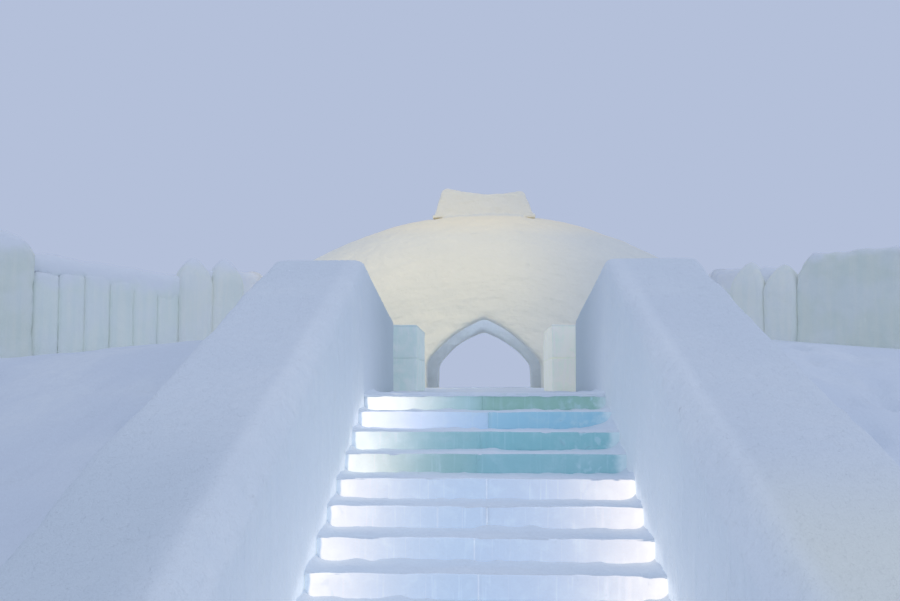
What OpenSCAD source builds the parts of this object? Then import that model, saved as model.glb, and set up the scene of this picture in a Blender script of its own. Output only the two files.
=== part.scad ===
// Snow dome with an arched way through it, reached over a walled flight of ice steps.
// X runs across the stair, +Y runs up the stair towards the dome, +Z is up, lengths in mm.
// The ground is at zero height, and the middle of the footprint is the origin.
// Inside the file, lengths along Y start at the front edge of the top step.

/* [Stair] */
// Height of one ice step
riser_h = 168; // [150:1:185]
// Depth of one tread
tread_d = 370; // [330:5:420]
// How far each ice block runs back under the one above it
step_lap = 40; // [20:5:80]
// Clear width between the two wing walls
stair_w = 2420; // [2100:10:2800]
// Sideways place of the joint between the two blocks of a step
step_joint_x = -20; // [-200:10:200]
// Frozen joint between neighbouring ice blocks
ice_joint = 4; // [3:1:10]

/* [Wing walls] */
// Thickness of a wing wall
wing_t = 1000; // [700:10:1100]
// Height of a wing wall above the noses of the steps
wing_h = 1400; // [1100:10:1600]
// Height of the blunt front end of a wing wall
wing_nose_h = 250; // [150:10:400]
// How far behind the top step the highest point of a wing wall lies
wing_peak_y = 200; // [0:10:600]
// Height of the back end of a wing wall above the terrace
wing_end_h = 980; // [700:10:1050]
// How far behind the top step a wing wall ends
wing_end_y = 2600; // [2200:10:3000]
// Outward lean of the inner top edge at the front end
wing_batter = 150; // [60:5:200]
// Radius of the rounded top edges
wing_r = 90; // [50:5:150]

/* [Ice piers] */
// Width of an ice pier
pier_w = 360; // [280:10:440]
// Height of one course of ice blocks
pier_course_h = 460; // [380:10:520]
// Length of one block of ice in a pier
pier_block_l = 500; // [400:10:600]
// Number of blocks in a course
pier_blocks = 3; // [2:1:4]
// Clear way between the two piers
pier_gap = 1860; // [1600:10:2000]
// Space between the end of a wing wall and its pier
pier_clear = 300; // [100:10:500]

/* [Snow banks] */
// How far the level seat reaches behind the middle of the palisade
bench_back = 550; // [450:10:700]
// Distance from the top step forward to the foot of a bank
bank_front = 5100; // [4600:10:5400]
// Sideways place of the outer foot of a bank
bank_foot_x = 10150; // [10100:10:10600]
// Slope of the front of a bank in degrees
bank_slope = 25.7; // [22:0.1:28]
// Angle in plan by which the front of a bank turns outward
bank_turn = 19.3; // [10:0.1:24]
// Slope of the outer side of a bank in degrees
bank_side_slope = 75; // [73:1:84]
// Height of the crown of a bank beside the wing wall
bank_crown_h = 2200; // [2000:10:2300]
// Rise of the upper bank towards the palisade in degrees
bank_rise = 4.5; // [3:0.1:6]
// Fall of the upper bank towards its outer side in degrees
bank_fall = 5.2; // [4:0.1:6]
// How deep the front crest of a bank is worn down
bank_crest_cut = 60; // [20:5:90]
// How deep the outer edges of a bank are worn down
bank_edge_cut = 90; // [40:5:110]

/* [Palisade] */
// Sideways place of the inner end of the palisade
fence_x = 5240; // [5000:10:5600]
// Distance from the top step back to the inner end of the palisade
fence_y = 8560; // [8200:10:9000]
// Angle in plan between the palisade and the front
fence_turn = 40; // [34:1:46]
// Length of the palisade with its bastion
fence_l = 5000; // [4600:10:5100]
// Diameter of a snow log
log_d = 434; // [380:2:460]
// Number of snow logs between the gate logs and the left bastion
log_count = 6; // [4:1:7]
// Height of the tops of the snow logs above the terrace
log_top = 2330; // [2200:10:2600]
// Diameter of a gate log
gate_log_d = 650; // [560:2:700]
// Height of the tops of the gate logs above the terrace
gate_log_top = 2680; // [2400:10:2800]
// Height of the rounded point at the head of a gate log
gate_head_h = 560; // [420:10:640]
// Radius of the tip of a gate log
gate_tip_r = 100; // [60:5:140]
// Gap between neighbouring logs
log_gap = 8; // [4:1:20]
// Difference in height between the highest and the middling logs
log_uneven = 45; // [0:5:80]
// Height of the top of the left bastion above the terrace
left_bastion_top = 2690; // [2500:10:2900]
// Height of the top of the right bastion above the terrace
right_bastion_top = 2470; // [2400:10:2900]
// Thickness of a bastion at its foot
bastion_t = 760; // [600:10:800]
// Thickness of a bastion just under its rounded top
bastion_top_t = 620; // [500:10:640]
// Radius of the rounded top edges of a bastion
bastion_r = 160; // [80:5:200]

/* [Dome] */
// Distance from the top step back to the front face of the dome
dome_front = 12500; // [12000:10:13000]
// Half of the depth of the dome from front to back
dome_half_d = 3000; // [2800:10:3300]
// Radius of the crest as seen from the front
crest_r = 10460; // [10000:10:10800]
// Height of the crest above the terrace
crest_h = 5140; // [4900:10:5300]
// Thickness of the snow shell
shell_t = 800; // [600:10:1000]
// Half of the width of the arched way
arch_half_w = 1500; // [1300:10:1600]
// Height of the upright jambs of the arched way
jamb_h = 720; // [600:10:900]
// Height of the point of the arched way
arch_h = 1860; // [1700:10:2100]
// Radius of each curved side of the pointed arch
haunch_r = 3500; // [2600:10:5000]
// Sideways place of the joints between the inner and outer wall segments
segment_x = 4700; // [4200:10:5200]

/* [Crown block] */
// Width of the crown block at its flared foot
crown_foot_w = 2990; // [2900:10:3200]
// Width of the crown block at its top
crown_top_w = 2360; // [2100:10:2500]
// Height of the crown block
crown_h = 840; // [700:10:1000]
// Depth of the crown block from front to back
crown_d = 1800; // [1500:10:1900]
// Height of the flare at the foot of the crown block
crown_flare_h = 320; // [260:10:380]
// How far the flare stands out on each side
crown_flare = 180; // [120:5:220]
// Thickness of the thin edge of the flare
crown_lip = 100; // [80:5:120]
// Radius of the upper corners of the crown block
crown_r = 190; // [120:5:240]
// Depth of the hollow along the top of the crown block
crown_dip = 110; // [40:5:130]
// How far below the crest the seat of the crown block is cut
crown_seat = 250; // [220:5:300]

/* [Hidden] */
$fn = 96;
STEPS = 9;
SEAT = 0.3;
FAR = 40000;
ROUND_FN = 256;
// How far the joints of the steps lie to either side of their middle place
joint_stray = 60;
// Margins of the level seat round the palisade, and how deep it is cut
bench_margin = 40;
bench_end_in = 250;
bench_end_out = 150;
bench_cut = 30;
// Length of the outer side of a bank that is cut off square behind the palisade
bank_corner = 400;
// Play between the palisades and the logs that run back to the dome
return_play = 30;
return_start = 40;

terrace_z = STEPS * riser_h;
terrace_y = tread_d + step_lap;
pitch = riser_h / tread_d;
in_x = stair_w / 2;
out_x = in_x + wing_t;
peak_z = terrace_z + wing_h;
wing_toe_y = wing_peak_y - (peak_z - wing_nose_h) / pitch;
dome_y = dome_front + dome_half_d;
dome_back = dome_y + dome_half_d;
mid_y = (wing_toe_y + dome_back) / 2;
crest_z = terrace_z + crest_h;
dome_z = crest_z - crest_r;
ring_r = crest_r - dome_half_d;
bore_r = dome_half_d - shell_t;
seat_z = crest_z - crown_seat;

bank_front_way = [sin(bank_slope) * sin(bank_turn), -sin(bank_slope) * cos(bank_turn),
    cos(bank_slope)];
bank_upper_way = [cos(bank_rise) * sin(bank_fall), -sin(bank_rise), cos(bank_rise) * cos(bank_fall)];
bank_side_way = [sin(bank_side_slope), 0, cos(bank_side_slope)];
bank_rise_y = tan(bank_rise) / cos(bank_fall);
front_rise_y = tan(bank_slope) * cos(bank_turn);
crest_y = (bank_crown_h - front_rise_y * bank_front) / (front_rise_y - bank_rise_y);
edge_x = (tan(bank_side_slope) * bank_foot_x - bank_crown_h - tan(bank_fall) * out_x)
    / (tan(bank_side_slope) - tan(bank_fall));
corner_y = (bank_foot_x - out_x) * tan(bank_turn) - bank_front;

along = [cos(fence_turn), -sin(fence_turn)];
behind = [sin(fence_turn), cos(fence_turn)];
log_pitch = log_d + log_gap;
gate_pitch = gate_log_d + log_gap;
gate_l = 2 * gate_pitch;
bank_in = [fence_x, fence_y] + bench_back * behind - bench_end_in * along;
bank_out = [fence_x, fence_y] + bench_back * behind + (fence_l + bench_end_out) * along;
bench_front = gate_log_d / 2 + bench_margin;
bench_z = bank_top(bank_out[0], bank_out[1]) - bench_cut;
return_x = bank_in[0] - log_d / 2 - return_play;
return_y = bank_in[1] + return_start;
return_l = dome_front - return_y - log_gap;
return_count = floor(return_l / log_pitch);
return_pitch = return_l / return_count;

function step_y(k) = -(STEPS - k) * tread_d;
function uneven(i) = log_uneven * sin(i * 137);
function bank_top(x, y) = bank_crown_h - tan(bank_fall) * (x - out_x)
    + bank_rise_y * y;

module placed() {
    translate([0, -mid_y, 0]) children();
}

module left() {
    mirror([1, 0, 0]) children();
}

// Everything beyond a plane that goes through a point and faces a way
module beyond(point, way) {
    translate(point) rotate([0, acos(way[2] / norm(way)), atan2(way[1], way[0])])
        translate([-FAR, -FAR, 0]) cube([2 * FAR, 2 * FAR, FAR]);
}

// The strip that is worn off an edge between two planes, down to a depth under the edge
module worn_edge(point, way, other_way, depth) {
    mid_way = way + other_way;
    beyond(point - depth * mid_way / norm(mid_way), mid_way);
}

// Stair

// One step of two long ice blocks with a frozen joint between them
module ice_step(k) {
    joint_x = step_joint_x + joint_stray * sin(k * 100);
    color("#bfe3ea") placed() translate([0, step_y(k), (k - 1) * riser_h])
        difference() {
            translate([-in_x + SEAT, 0, 0])
                cube([stair_w - 2 * SEAT, tread_d + step_lap, riser_h]);
            translate([joint_x, -1, -1])
                cube([ice_joint, tread_d + step_lap + 2, riser_h + 2]);
        }
}

// Packed snow under the ice blocks, cut as steps
module stair_bed() {
    back = [for (k = [2:STEPS]) each [
        [step_y(k) + step_lap, (k - 2) * riser_h],
        [step_y(k) + step_lap, (k - 1) * riser_h]]];
    end = [[terrace_y, (STEPS - 1) * riser_h], [terrace_y, 0]];
    color("#dfe8f2") placed() translate([-in_x + SEAT, 0, 0])
        rotate([90, 0, 90]) linear_extrude(stair_w - 2 * SEAT)
            polygon(concat(back, end));
}

// Cross-section of a wing wall at one place along Y, as points for its hull
function wing_section(y, top_z, foot_z, lean) = [
    for (a = [0:15:90]) [out_x - wing_r + wing_r * cos(a), y, top_z - wing_r + wing_r * sin(a)],
    for (a = [90:15:180])
        [in_x + lean + wing_r + wing_r * cos(a), y, top_z - wing_r + wing_r * sin(a)],
    [in_x, y, foot_z],
    [in_x, y, 0],
    [out_x, y, 0]];

// Thick snow wall beside the stair, whose top follows the stair and falls behind its peak
module wing_wall() {
    points = concat(
        wing_section(wing_toe_y, wing_nose_h, 0, wing_batter),
        wing_section(wing_peak_y, peak_z, terrace_z, wing_batter / 5),
        wing_section(wing_end_y, terrace_z + wing_end_h, terrace_z, 0),
        [[in_x, 0, terrace_z]]);
    color("#d3deec") placed() hull()
        polyhedron(points, [[for (i = [0:len(points) - 1]) i]]);
}

// Terrace

// Packed snow between the stair, the banks and the dome
module terrace() {
    right = [[in_x, terrace_y], [in_x, wing_end_y], [out_x, wing_end_y], bank_in,
        [bank_in[0], dome_front]];
    mirrored = [for (i = [len(right) - 1:-1:0]) [-right[i][0], right[i][1]]];
    color("#e3ebf4") placed() linear_extrude(terrace_z)
        polygon(concat(right, mirrored));
}

// One course of an ice pier, as blocks in a row with frozen joints
module pier_course(level) {
    color("#c4dde2") placed()
        for (i = [0:pier_blocks - 1])
            translate([pier_gap / 2, wing_end_y + pier_clear + i * (pier_block_l + ice_joint),
                    terrace_z + level * pier_course_h])
                cube([pier_w, pier_block_l, pier_course_h]);
}

// Banks and palisades

// Piled snow beside the stair, with a level seat for the palisade cut into its back
module bank() {
    plan = [[out_x, -bank_front], [bank_foot_x, -bank_front], [bank_foot_x, bank_out[1] - bank_corner],
        bank_out, bank_in, [out_x, wing_end_y]];
    color("#cdd8e8") placed() difference() {
        linear_extrude(FAR) polygon(plan);
        beyond([out_x, -bank_front, 0], bank_front_way);
        beyond([out_x, 0, bank_crown_h], bank_upper_way);
        beyond([bank_foot_x, 0, 0], bank_side_way);
        worn_edge([out_x, crest_y, bank_top(out_x, crest_y)], bank_front_way, bank_upper_way,
            bank_crest_cut);
        worn_edge([edge_x, 0, bank_top(edge_x, 0)], bank_upper_way, bank_side_way, bank_edge_cut);
        worn_edge([bank_foot_x, corner_y, 0], bank_front_way, bank_side_way, bank_edge_cut);
        on_fence(-FAR, -bench_front) cube([2 * FAR, FAR, FAR]);
    }
}

// Puts a child on the level seat, at a place along the palisade and behind its middle line
module on_fence(along_by, behind_by) {
    translate([fence_x, fence_y, bench_z]) rotate([0, 0, -fence_turn])
        translate([along_by, behind_by, 0]) children();
}

// Upright snow log with a round head
module snow_log(d, h) {
    cylinder(d = d, h = h - d / 2);
    translate([0, 0, h - d / 2]) sphere(d = d);
}

// Half of the outline of a gate log, which narrows in two arcs to its tip
module gate_log_outline(h) {
    radius = gate_log_d / 2;
    tip_z = gate_head_h - gate_tip_r;
    side_r = (tip_z * tip_z / (radius - gate_tip_r) + radius + gate_tip_r) / 2;
    join_z = side_r * tip_z / (side_r - gate_tip_r);
    square([radius, h - gate_head_h]);
    translate([0, h - gate_head_h]) {
        intersection() {
            translate([radius - side_r, 0]) circle(side_r, $fn = ROUND_FN);
            translate([0, -1]) square([radius, join_z + 1]);
        }
        intersection() {
            translate([0, tip_z]) circle(gate_tip_r);
            translate([0, join_z - 1]) square(gate_tip_r + 1);
        }
    }
}

// The two big logs at the inner end of a palisade
module gate_logs() {
    color("#d6e1ee") placed()
        for (i = [0:1])
            on_fence((i + 0.5) * gate_pitch, 0) rotate_extrude()
                gate_log_outline(terrace_z + gate_log_top - bench_z + uneven(i + 1) / 2);
}

// The row of smaller logs
module palisade() {
    color("#d6e1ee") placed()
        for (i = [0:log_count - 1])
            on_fence(gate_l + (i + 0.5) * log_pitch, 0)
                snow_log(log_d, terrace_z + log_top - bench_z + uneven(i));
}

// Cross-section of a bastion, wide at its foot and rounded at its top
module bastion_section(h) {
    shoulder = h - bastion_r;
    polygon([[-bastion_t / 2, 0], [bastion_t / 2, 0], [bastion_top_t / 2, shoulder],
        [bastion_top_t / 2 - bastion_r, h], [bastion_r - bastion_top_t / 2, h],
        [-bastion_top_t / 2, shoulder]]);
    for (side = [-1, 1])
        translate([side * (bastion_top_t / 2 - bastion_r), shoulder]) circle(bastion_r);
}

// Straight block of snow from a place along the palisade out to its end
module bastion(start, top) {
    color("#ccd9e8") placed()
        on_fence(start, 0) rotate([90, 0, 90])
            linear_extrude(fence_l - start) bastion_section(terrace_z + top - bench_z);
}

// Logs on the terrace that close the yard between a palisade and the dome
module return_logs() {
    color("#d6e1ee") placed()
        for (i = [0:return_count - 1])
            translate([return_x, return_y + (i + 0.5) * return_pitch, terrace_z])
                snow_log(log_d, log_top + uneven(i + 3));
}

// Dome

// Round-shouldered loaf of snow, turned about a level axis below the ground
module loaf(tube_r) {
    ground_angle = asin(-dome_z / (ring_r + tube_r));
    translate([0, dome_y, dome_z]) rotate([90, 0, 0])
        rotate_extrude(start = ground_angle, angle = 180 - 2 * ground_angle, $fn = ROUND_FN) {
            translate([0, -tube_r]) square([ring_r, 2 * tube_r]);
            intersection() {
                translate([ring_r, 0]) circle(tube_r, $fn = ROUND_FN);
                translate([ring_r - 1, -tube_r]) square([tube_r + 1, 2 * tube_r]);
            }
        }
}

// Outline of the pointed arch, with its foot on the terrace
module arch_outline() {
    chord = norm([arch_half_w, arch_h - jamb_h]);
    sink = sqrt(haunch_r * haunch_r - chord * chord / 4);
    centre = [arch_half_w / 2 - sink * (arch_h - jamb_h) / chord,
        (arch_h + jamb_h) / 2 - sink * arch_half_w / chord];
    translate([-arch_half_w, 0]) square([2 * arch_half_w, jamb_h]);
    intersection() {
        translate(centre) circle(haunch_r, $fn = ROUND_FN);
        translate([-centre[0], centre[1]]) circle(haunch_r, $fn = ROUND_FN);
        translate([-arch_half_w, 0]) square([2 * arch_half_w, arch_h]);
    }
}

// The arched way as a solid, from before the front face to past the back face
module arched_way() {
    translate([0, dome_back + 500, terrace_z]) rotate([90, 0, 0])
        linear_extrude(2 * dome_half_d + 1000) arch_outline();
}

// Shell of the dome between two places across and on one side of its middle plane
module shell_part(x_from, x_to, is_front) {
    y_from = is_front ? dome_front - 1 : dome_y;
    color(is_front ? "#e8e4da" : "#dbe4ee") placed() difference() {
        intersection() {
            loaf(dome_half_d);
            translate([x_from, y_from, 0]) cube([x_to - x_from, dome_half_d + 1, FAR]);
        }
        loaf(bore_r);
        translate([-arch_half_w, dome_front - 1, -1])
            cube([2 * arch_half_w, 2 * dome_half_d + 2, terrace_z + 1]);
        arched_way();
        translate([-crown_foot_w / 2 - SEAT, dome_y - crown_d / 2 - SEAT, seat_z])
            cube([crown_foot_w + 2 * SEAT, crown_d + 2 * SEAT, FAR]);
    }
}

module arch_head(is_front) {
    shell_part(-arch_half_w, arch_half_w, is_front);
}

module side_wall(is_front) {
    shell_part(arch_half_w, segment_x, is_front);
}

module end_wall(is_front) {
    shell_part(segment_x, FAR, is_front);
}

// Packed snow floor of the hall, with a tongue out through each doorway
module hall_floor() {
    color("#dfe6ef") placed() {
        intersection() {
            loaf(bore_r - SEAT);
            translate([-FAR, dome_front, 0]) cube([2 * FAR, 2 * dome_half_d, terrace_z]);
        }
        translate([-arch_half_w + SEAT, dome_front, 0])
            cube([2 * (arch_half_w - SEAT), 2 * dome_half_d, terrace_z]);
    }
}

// Block of snow on the crest, flared at its foot and hollowed along its top
module crown_block() {
    flare = [for (t = [0:0.125:1]) [
        crown_foot_w / 2 - crown_flare * (1 - (1 - t) * (1 - t)),
        crown_lip + (crown_flare_h - crown_lip) * t * t]];
    level_w = crown_top_w / 2 - crown_r;
    corner = [for (a = [0:15:90])
        [level_w + crown_r * cos(a), crown_h - crown_r + crown_r * sin(a)]];
    top = [for (t = [0.875:-0.125:0]) [level_w * t, crown_h - crown_dip * (1 - t * t)]];
    right = concat([[crown_foot_w / 2, 0]], flare, corner, top);
    mirrored = [for (i = [len(right) - 2:-1:0]) [-right[i][0], right[i][1]]];
    color("#e4e4de") placed() translate([0, dome_y + crown_d / 2, seat_z])
        rotate([90, 0, 0]) linear_extrude(crown_d) polygon(concat(right, mirrored));
}

ice_step(1);  // ice_step_1
ice_step(2);  // ice_step_2
ice_step(3);  // ice_step_3
ice_step(4);  // ice_step_4
ice_step(5);  // ice_step_5
ice_step(6);  // ice_step_6
ice_step(7);  // ice_step_7
ice_step(8);  // ice_step_8
ice_step(9);  // ice_step_9
stair_bed();
left() wing_wall();  // left_wing_wall
wing_wall();  // right_wing_wall
terrace();
left() pier_course(0);  // left_pier_lower
left() pier_course(1);  // left_pier_upper
pier_course(0);  // right_pier_lower
pier_course(1);  // right_pier_upper
left() bank();  // left_bank
bank();  // right_bank
left() gate_logs();  // left_gate_logs
gate_logs();  // right_gate_logs
left() palisade();  // left_palisade
left() bastion(gate_l + log_count * log_pitch, left_bastion_top);  // left_bastion
bastion(gate_l, right_bastion_top);  // right_bastion
left() return_logs();  // left_return_logs
return_logs();  // right_return_logs
arch_head(true);  // front_arch_head
arch_head(false);  // back_arch_head
left() side_wall(true);  // front_left_wall
side_wall(true);  // front_right_wall
left() side_wall(false);  // back_left_wall
side_wall(false);  // back_right_wall
left() end_wall(true);  // front_left_end
end_wall(true);  // front_right_end
left() end_wall(false);  // back_left_end
end_wall(false);  // back_right_end
hall_floor();
crown_block();
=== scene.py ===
import math

import bmesh
import bpy
import numpy as np
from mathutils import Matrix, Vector
from mathutils.bvhtree import BVHTree


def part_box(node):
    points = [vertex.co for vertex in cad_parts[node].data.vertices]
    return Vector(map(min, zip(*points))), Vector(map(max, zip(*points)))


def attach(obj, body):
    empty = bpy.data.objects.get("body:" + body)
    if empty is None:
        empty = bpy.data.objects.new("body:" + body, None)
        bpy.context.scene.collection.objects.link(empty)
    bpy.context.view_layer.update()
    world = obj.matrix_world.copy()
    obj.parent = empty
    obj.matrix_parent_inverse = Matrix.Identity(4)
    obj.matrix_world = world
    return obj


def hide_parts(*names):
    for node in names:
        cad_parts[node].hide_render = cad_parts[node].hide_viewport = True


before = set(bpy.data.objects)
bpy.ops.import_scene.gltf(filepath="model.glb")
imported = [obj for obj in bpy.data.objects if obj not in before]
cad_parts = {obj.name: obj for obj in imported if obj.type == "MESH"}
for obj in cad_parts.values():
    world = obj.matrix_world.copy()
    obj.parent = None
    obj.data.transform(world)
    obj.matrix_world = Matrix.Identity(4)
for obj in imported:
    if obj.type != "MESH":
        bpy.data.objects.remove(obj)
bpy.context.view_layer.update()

# Lengths are metres in the part's own frame. The stair climbs along +Y and the ground is z = 0.

# Places that other pieces are set out from
STEPS = 9
TOP_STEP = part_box("ice_step_9")
NEXT_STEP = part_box("ice_step_8")
EDGE_Y = TOP_STEP[0].y
TREAD = EDGE_Y - NEXT_STEP[0].y
PITCH = (TOP_STEP[1].z - NEXT_STEP[1].z) / TREAD
TERRACE_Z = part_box("terrace")[1].z
STAIR_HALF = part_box("right_wing_wall")[0].x
WING_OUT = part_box("right_wing_wall")[1].x
DOME_Y = (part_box("front_arch_head")[0].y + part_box("back_arch_head")[1].y) / 2
SHELL_SEGMENTS = [
    f"{face}_{part}"
    for face in ("front", "back")
    for part in ("arch_head", "left_wall", "right_wall", "left_end", "right_end")
]

# How far snow has built up or worn down on the inner and the outer gate log, and on the small logs
GATE_WEAR = {"left": (0.06, 0.06), "right": (-0.08, -0.16)}
PALISADE_WEAR = -0.06
# How far the heap on a bastion stands over the block, by the gate and past the reach of its slope
BASTION_RISE = {"left": (-0.16, 0.10), "right": (-0.21, 0.09)}
BASTION_REACH = {"left": 0.45, "right": 0.30}
# Height of a log's head, and how pointed it is, from 1 (a cone) to 2 (a ball)
GATE_HEAD = (0.56, 1.55)
ROUND_HEAD = (0.2, 2.0)
# Heights over the terrace at which loose snow starts to cling to a log and at which it covers it
GATE_DUST = (2.338, 2.688)
ROW_DUST = (1.788, 2.238)
BASTION_DUST = (2.388, 2.688)
# Depth of the snow that slid over the right end of some treads
SLIDES = {STEPS - 1: 0.02, STEPS - 2: 0.13, STEPS - 3: 0.04}

# Linear colours of the sky and the snow
SKY = (0.456, 0.527, 0.701)
SNOW = (0.88, 0.92, 0.93)
SNOW_SHADE = (0.82, 0.87, 0.90)
BANK_SNOW = (0.83, 0.87, 0.89)
BANK_SHADE = (0.76, 0.81, 0.86)
LOG_SNOW = (0.93, 0.97, 0.89)
LOG_SHADE = (0.86, 0.93, 0.87)
DUSTING = (0.88, 0.90, 0.92)
DOME_SNOW = (0.94, 0.92, 0.82)
DOME_SHADE = (0.88, 0.87, 0.79)
# Painted warm light on the dome under its crest
CREST_PAINTED_LIGHT = (0.95, 0.90, 0.75)
# Painted shade that dims the crown
CROWN_PAINTED_SHADE = (0.86, 0.85, 0.79)
WALL_SHADE = (0.65, 0.72, 0.75)
WALL_WARM = (0.94, 0.95, 0.85)
FLOOR = (0.84, 0.88, 0.92)

# Linear colours of the ice
ICE_CLOUD = (0.60, 0.76, 0.80)
ICE_VEIN = (0.72, 0.86, 0.92)
ICE_FLAW = (0.30, 0.42, 0.50)
ICE_FROST = (0.66, 0.80, 0.86)
PIER_ICE = (0.74, 0.87, 0.82)
PIER_PALE = (0.84, 0.90, 0.86)
PIER_STREAK = (0.90, 0.93, 0.92)
PIER_JOINT = (0.42, 0.56, 0.58)
PIER_EDGE = (0.50, 0.62, 0.66)

# Light that the snow and the ice give off, with the lowest and highest where it varies
BLACK = (0.0, 0.0, 0.0)
TREAD_GLOW = ((0.015, 0.020, 0.035), (0.025, 0.030, 0.050))
WALL_GLOW = (0.9, 0.95, 1.0)
# Painted warm glow on the dome under its crest
CREST_PAINTED_GLOW = (0.045, 0.028, 0.003)
PACKED_GLOW = (0.06, 0.08, 0.11)
LIT_GLOW = ((0.275, 0.305, 0.355), (0.86, 0.73, 0.60))
UNLIT_GLOW = ((0.04, 0.08, 0.09), (0.84, 0.72, 0.66))
PIER_GLOW = {
    "left": ((0.035, 0.045, 0.040), (0.070, 0.080, 0.070)),
    "right": ((0.145, 0.115, 0.070), (0.195, 0.165, 0.105)),
}

# Tints of the left and right block of a step, and how the light of a lamp fades along it: how far
# the lamp lies beyond the end, and its reach
LIT_STEP = ((0.34, 0.48, 0.62), (0.36, 0.48, 0.62), 0.19, 0.64)
# The same for the unlit steps, which have a lamp only at their left end
UNLIT_STEPS = {
    9: ((0.48, 0.68, 0.66), (0.36, 0.56, 0.45), -0.135, 0.54),
    8: ((0.56, 0.72, 0.90), (0.37, 0.64, 0.78), 0.26, 0.89),
    7: ((0.36, 0.60, 0.61), (0.30, 0.58, 0.61), 0.116, 0.57),
    6: ((0.35, 0.56, 0.54), (0.33, 0.575, 0.61), 0.09, 0.573),
}


# Noise

def lattice(ix, iy, iz, seed):
    """A repeatable random number from -1 to 1 for each whole-numbered place."""
    h = (ix * 73856093) ^ (iy * 19349663) ^ (iz * 83492791) ^ (seed * 40503 + 977)
    h = (h ^ (h >> 13)) * 1274126177
    h = (h ^ (h >> 16)) & 0xFFFF
    return h / 32767.5 - 1.0


def noise(points, seed):
    """Smooth noise from -1 to 1 at each point, with bumps one unit across."""
    cell = np.floor(points).astype(np.int64)
    t = points - cell
    t = t * t * (3 - 2 * t)
    total = np.zeros(len(points))
    for dx in (0, 1):
        for dy in (0, 1):
            for dz in (0, 1):
                weight = (
                    np.where(dx, t[:, 0], 1 - t[:, 0])
                    * np.where(dy, t[:, 1], 1 - t[:, 1])
                    * np.where(dz, t[:, 2], 1 - t[:, 2])
                )
                total += weight * lattice(cell[:, 0] + dx, cell[:, 1] + dy, cell[:, 2] + dz, seed)
    return total


def rough(points, size, seed, octaves=3):
    """Noise with bumps of the given size and finer ones on them, each octave set off from the last."""
    points = np.asarray(points, float) / size
    return sum(noise(points * 2**i + 31.7 * i, seed + i) / 2**i for i in range(octaves))


# Meshes

def get_points(piece):
    co = np.empty(len(piece.data.vertices) * 3)
    piece.data.vertices.foreach_get("co", co)
    return co.reshape(-1, 3)


def set_points(piece, co):
    piece.data.vertices.foreach_set("co", np.asarray(co, float).ravel())
    piece.data.update()


def get_normals(piece):
    normal = np.empty(len(piece.data.vertices) * 3, np.float32)
    piece.data.vertices.foreach_get("normal", normal)
    return normal.reshape(-1, 3).astype(float)


def add_object(name, mesh):
    piece = bpy.data.objects.new(name, mesh)
    bpy.context.scene.collection.objects.link(piece)
    return piece


def node_bmesh(*nodes):
    """The meshes of some CAD nodes as one bmesh with their doubled points merged."""
    bm = bmesh.new()
    for node in nodes:
        bm.from_mesh(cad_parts[node].data)
    bmesh.ops.remove_doubles(bm, verts=bm.verts, dist=1e-4)
    return bm


def solids(node):
    """Lowest and highest corner of each separate solid in a CAD node.

    They go from left to right, and from front to back where their left sides line up, so that each
    run gives the same order.
    """
    bm = node_bmesh(node)
    left = set(bm.verts)
    boxes = []
    while left:
        island, edge = set(), [left.pop()]
        while edge:
            v = edge.pop()
            island.add(v)
            for e in v.link_edges:
                other = e.other_vert(v)
                if other in left:
                    left.discard(other)
                    edge.append(other)
        co = np.array([v.co for v in island])
        boxes.append((Vector(co.min(0)), Vector(co.max(0))))
    bm.free()
    return sorted(boxes, key=lambda box: (round(box[0].x, 4), box[0].y))


def raised(box, rise):
    """A box with its top higher."""
    low, high = box
    return low, high + Vector((0, 0, rise))


def centre(box):
    return (box[0] + box[1]) / 2


def add_lump(bm, place, radius):
    """Adds a ball of snow to a bmesh that is remeshed later."""
    made = bmesh.ops.create_icosphere(bm, subdivisions=2, radius=radius)["verts"]
    for v in made:
        v.co += Vector(place)


def bake_modifiers(piece):
    """Puts the result of a piece's modifiers into its own mesh."""
    graph = bpy.context.evaluated_depsgraph_get()
    mesh = bpy.data.meshes.new_from_object(piece.evaluated_get(graph))
    piece.modifiers.clear()
    old = piece.data
    piece.data = mesh
    bpy.data.meshes.remove(old)


def moulded(name, bm, cell, rounds):
    """An object with one even skin round everything in a bmesh, worn smooth in some rounds."""
    mesh = bpy.data.meshes.new(name)
    bm.to_mesh(mesh)
    bm.free()
    piece = add_object(name, mesh)
    skin = piece.modifiers.new("skin", "REMESH")
    skin.mode = "VOXEL"
    skin.voxel_size = cell
    wear = piece.modifiers.new("wear", "SMOOTH")
    wear.factor = 0.5
    wear.iterations = rounds
    bake_modifiers(piece)
    return piece


def roughen(piece, layers, seed):
    """Moves each point along its normal by layers of noise, each a size and a depth."""
    co = get_points(piece)
    shift = sum(depth * rough(co, size, seed + 10 * i) for i, (size, depth) in enumerate(layers))
    set_points(piece, co + get_normals(piece) * shift[:, None])


def dress(piece, material, slot, *nodes):
    """Finishes a piece: its material and body, and the CAD nodes that it stands for.

    What reaches under the ground is raised to it. The slot is not used.
    """
    piece.data.materials.clear()
    piece.data.materials.append(material)
    piece.data.polygons.foreach_set("use_smooth", [True] * len(piece.data.polygons))
    co = get_points(piece)
    co[:, 2] = np.maximum(co[:, 2], 0.0)
    set_points(piece, co)
    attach(piece, "root")
    if nodes:
        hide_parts(*nodes)
    return piece


def grid_lines(low, high, radii, cell):
    """Places of the grid lines across one side of a block, closer at its rounded edges."""
    start, end = low + radii[0], high - radii[1]
    inner = np.linspace(start, end, max(2, int((high - low) / cell) + 1))
    edge = np.array([0, 0.3, 0.65])
    return np.concatenate([low + radii[0] * edge, inner, (high - radii[1] * edge)[::-1]])


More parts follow.
